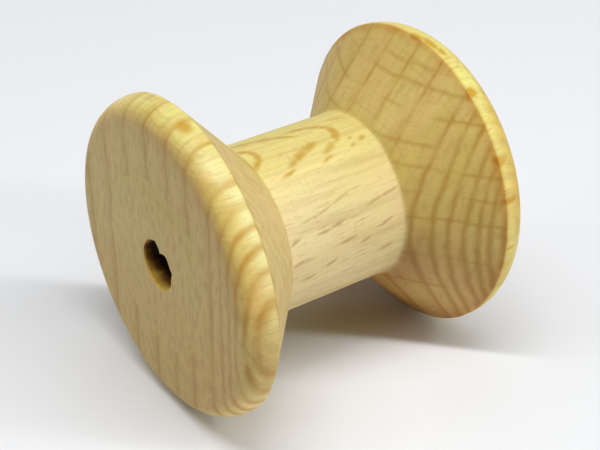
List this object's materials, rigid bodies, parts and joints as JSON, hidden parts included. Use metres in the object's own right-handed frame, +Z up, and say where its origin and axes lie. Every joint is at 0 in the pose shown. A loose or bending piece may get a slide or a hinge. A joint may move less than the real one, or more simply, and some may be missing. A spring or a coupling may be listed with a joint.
{
  "type": "thread spool",
  "caption": "Turned wooden thread spool with a straight barrel, two cone-backed flanges with rounded rims, and a bore right through for a spool pin.",
  "frame": {"origin": "on the ground under the spool's middle, midway between the two flanges it lies on", "axes": "+X along the spool's own axis, from flange to flange; +Z up"},
  "size_m": [0.0406, 0.04, 0.04],
  "materials": {
    "beech": "bare turned and sanded beech, no varnish"
  },
  "bodies": {
    "root": {"spool": "beech"}
  },
  "joints": []
}
